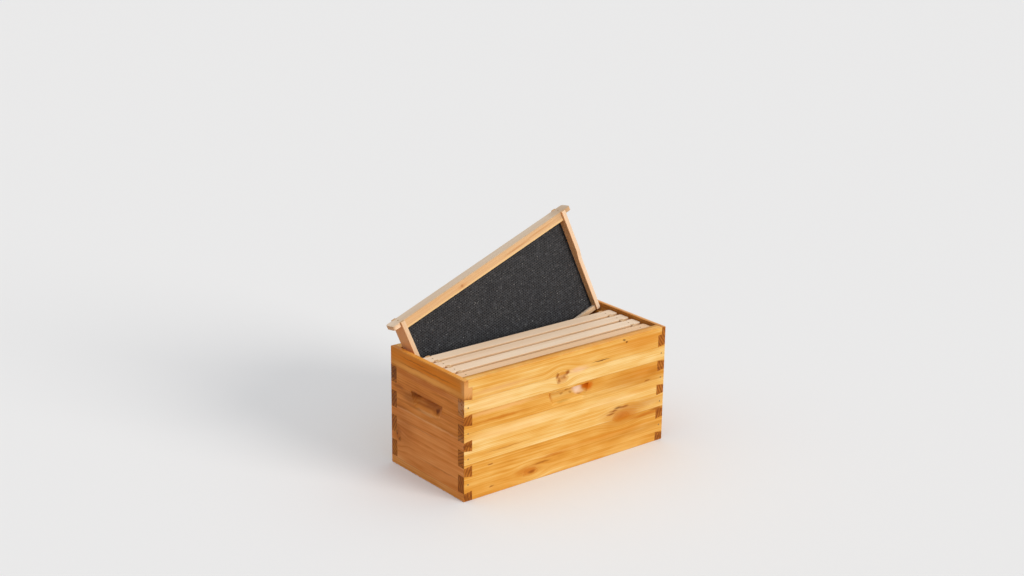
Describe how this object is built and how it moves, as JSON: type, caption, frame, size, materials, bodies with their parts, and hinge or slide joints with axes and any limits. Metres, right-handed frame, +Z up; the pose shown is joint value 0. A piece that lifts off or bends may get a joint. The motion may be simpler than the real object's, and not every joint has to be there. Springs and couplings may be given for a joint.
{
  "type": "nuc box",
  "caption": "Small wooden beehive body with dovetailed corners and scooped handholds, holding self-spacing comb frames that lift out, one pulled and leaning.",
  "frame": {"origin": "on the ground, in the middle of the open bottom of the box", "axes": "+X along the long side to the right, +Y across the frames to the back, +Z up"},
  "size_m": [0.5273, 0.2501, 0.4572],
  "materials": {
    "box_boards": "wax-dipped conifer boards",
    "frame_wood": "bare planed conifer",
    "foundation_plastic": "black moulded sheet with cell walls and a thin wax coat",
    "nail_steel": "dull wire nails"
  },
  "bodies": {
    "box": {"front_side_board": "box_boards", "back_side_board": "box_boards", "left_end_board": "box_boards", "right_end_board": "box_boards", "corner_nails": "nail_steel"},
    "frame_1": {"frame_1_top_bar": "frame_wood", "frame_1_left_side_bar": "frame_wood", "frame_1_right_side_bar": "frame_wood", "frame_1_bottom_bar": "frame_wood", "frame_1_foundation": "foundation_plastic", "frame_1_nails": "nail_steel"},
    "frame_2": {"frame_2_top_bar": "frame_wood", "frame_2_left_side_bar": "frame_wood", "frame_2_right_side_bar": "frame_wood", "frame_2_bottom_bar": "frame_wood", "frame_2_foundation": "foundation_plastic", "frame_2_nails": "nail_steel"},
    "frame_3": {"frame_3_top_bar": "frame_wood", "frame_3_left_side_bar": "frame_wood", "frame_3_right_side_bar": "frame_wood", "frame_3_bottom_bar": "frame_wood", "frame_3_foundation": "foundation_plastic", "frame_3_nails": "nail_steel"},
    "frame_4": {"frame_4_top_bar": "frame_wood", "frame_4_left_side_bar": "frame_wood", "frame_4_right_side_bar": "frame_wood", "frame_4_bottom_bar": "frame_wood", "frame_4_foundation": "foundation_plastic", "frame_4_nails": "nail_steel"},
    "frame_5": {"frame_5_top_bar": "frame_wood", "frame_5_left_side_bar": "frame_wood", "frame_5_right_side_bar": "frame_wood", "frame_5_bottom_bar": "frame_wood", "frame_5_foundation": "foundation_plastic", "frame_5_nails": "nail_steel"}
  },
  "joints": [
    {"name": "frame_1_lift", "type": "slide", "parent": "box", "child": "frame_1", "axis": [0, 0, 1], "range_m": [0, 0.25]},
    {"name": "frame_2_lift", "type": "slide", "parent": "box", "child": "frame_2", "axis": [0, 0, 1], "range_m": [0, 0.25]},
    {"name": "frame_3_lift", "type": "slide", "parent": "box", "child": "frame_3", "axis": [0, 0, 1], "range_m": [0, 0.25]},
    {"name": "frame_4_lift", "type": "slide", "parent": "box", "child": "frame_4", "axis": [0, 0, 1], "range_m": [0, 0.25]},
    {"name": "frame_5_lift", "type": "slide", "parent": "box", "child": "frame_5", "axis": [0, 0, 1], "range_m": [0, 0.17]}
  ]
}
